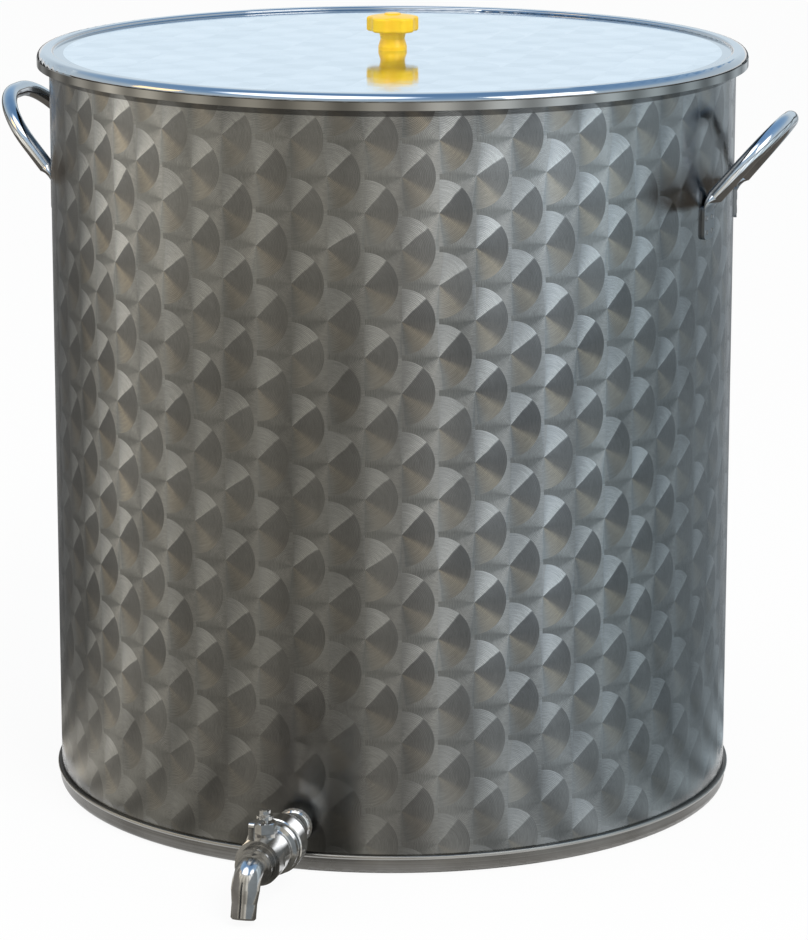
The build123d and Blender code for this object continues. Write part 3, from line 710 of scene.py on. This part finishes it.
for side, body_side in ((1, "right"), (-1, "left")):
    bm = bmesh.new()
    for leg in (-1, 1):
        for across in (-1, 1):
            for up in (-1, 1):
                made = ring_in(bm, rim_radius, rim_section)
                bmesh.ops.translate(bm, verts=made, vec=(
                    tab_face, across * weld_dot_half_spacing, weld_dot_height + up * weld_dot_half_spacing))
                bmesh.ops.rotate(
                    bm, verts=made, cent=(0, 0, 0), matrix=Matrix.Rotation(leg * leg_turn, 3, "Z"))
    bmesh.ops.scale(bm, verts=bm.verts, vec=(side, 1, 1))
    bmesh.ops.remove_doubles(bm, verts=bm.verts, dist=1e-6)
    bmesh.ops.recalc_face_normals(bm, faces=bm.faces)
    rims = mesh_object("spot_weld_rims_" + body_side, bm, weld_material)
    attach(rims, "pot")


# The tap is cast and turned stainless steel, polished on a wheel: socket, tail, union nut, body, front ring
# and spout. The socket is welded into the wall, and the tail screws into it. The ball turns between white
# plastic seats, and a black rubber ring seals the spout.
tap_material = bpy.data.materials.new("polished_tap_steel")
shading = Shading(tap_material)
place = shading.place()
turned = noise(shading, stretched(shading, place, (60.0, 2400.0, 60.0)), 1.0, 2.0)
pits = noise(shading, place, 900.0, 3.0)
clouds = noise(shading, place, 60.0, 3.0)
surface(shading, {
    "Base Color": shading.ramp(clouds, [
        (0.3, (0.42, 0.415, 0.41)), (0.5, (0.53, 0.53, 0.53)), (0.7, (0.62, 0.625, 0.63))]),
    "Metallic": 1.0, "Roughness": 0.08 + clouds * 0.1 + pits * 0.05,
    "Normal": bump(shading, turned + pits * 0.5, 0.06)})
dress(tap_material, "weld_socket", "tap_nipple", "union_nut", "valve_body", "ball", "valve_end", "spout",
      "stem", "gland_nut", "tap_lever", "lever_washer", "lever_nut", "knob_screw", "knob_washer")

seat_material = bpy.data.materials.new("white_seat_plastic")
shading = Shading(seat_material)
place = shading.place()
grain = noise(shading, place, 700.0)
surface(shading, {
    "Base Color": shading.ramp(grain, [(0.3, (0.80, 0.80, 0.78)), (0.7, (0.88, 0.88, 0.86))]),
    "Roughness": 0.45 + grain * 0.15, "Normal": bump(shading, grain, 0.1)})
dress(seat_material, "union_gasket", "seat_rear", "seat_front", "stem_packing")

rubber_material = bpy.data.materials.new("black_seal_rubber")
shading = Shading(rubber_material)
place = shading.place()
grain = noise(shading, place, 1200.0)
surface(shading, {
    "Base Color": shading.ramp(grain, [(0.3, (0.018, 0.018, 0.019)), (0.7, (0.035, 0.035, 0.036))]),
    "Roughness": 0.6 + grain * 0.2, "Normal": bump(shading, grain, 0.2)})
dress(rubber_material, "spout_seal")

tap_height = 0.0327
bead_radius = 0.0116
bead_section = 0.0012
bead_scales = 26
bead_swell = 0.14
bm = bmesh.new()
bead = ring_in(bm, bead_radius, bead_section, turns=bead_scales * 4, sides=10)
for vert in bead:
    flat = Vector((0, vert.co.y, vert.co.z))
    middle = flat.normalized() * bead_radius
    turn = bead_scales * Vector((1, 0)).angle_signed(Vector((flat.y, flat.z)), 0.0)
    vert.co = middle + (vert.co - middle) * (1 + bead_swell * sin(turn))
bmesh.ops.rotate(bm, verts=bead, cent=(0, 0, 0), matrix=Matrix.Rotation(-pi / 2, 3, "Z"))
bmesh.ops.translate(bm, verts=bead, vec=(0, -wall_radius, tap_height))
bmesh.ops.remove_doubles(bm, verts=bm.verts, dist=1e-6)
bmesh.ops.recalc_face_normals(bm, faces=bm.faces)
socket_weld = mesh_object("socket_weld", bm, weld_material)
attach(socket_weld, "pot")
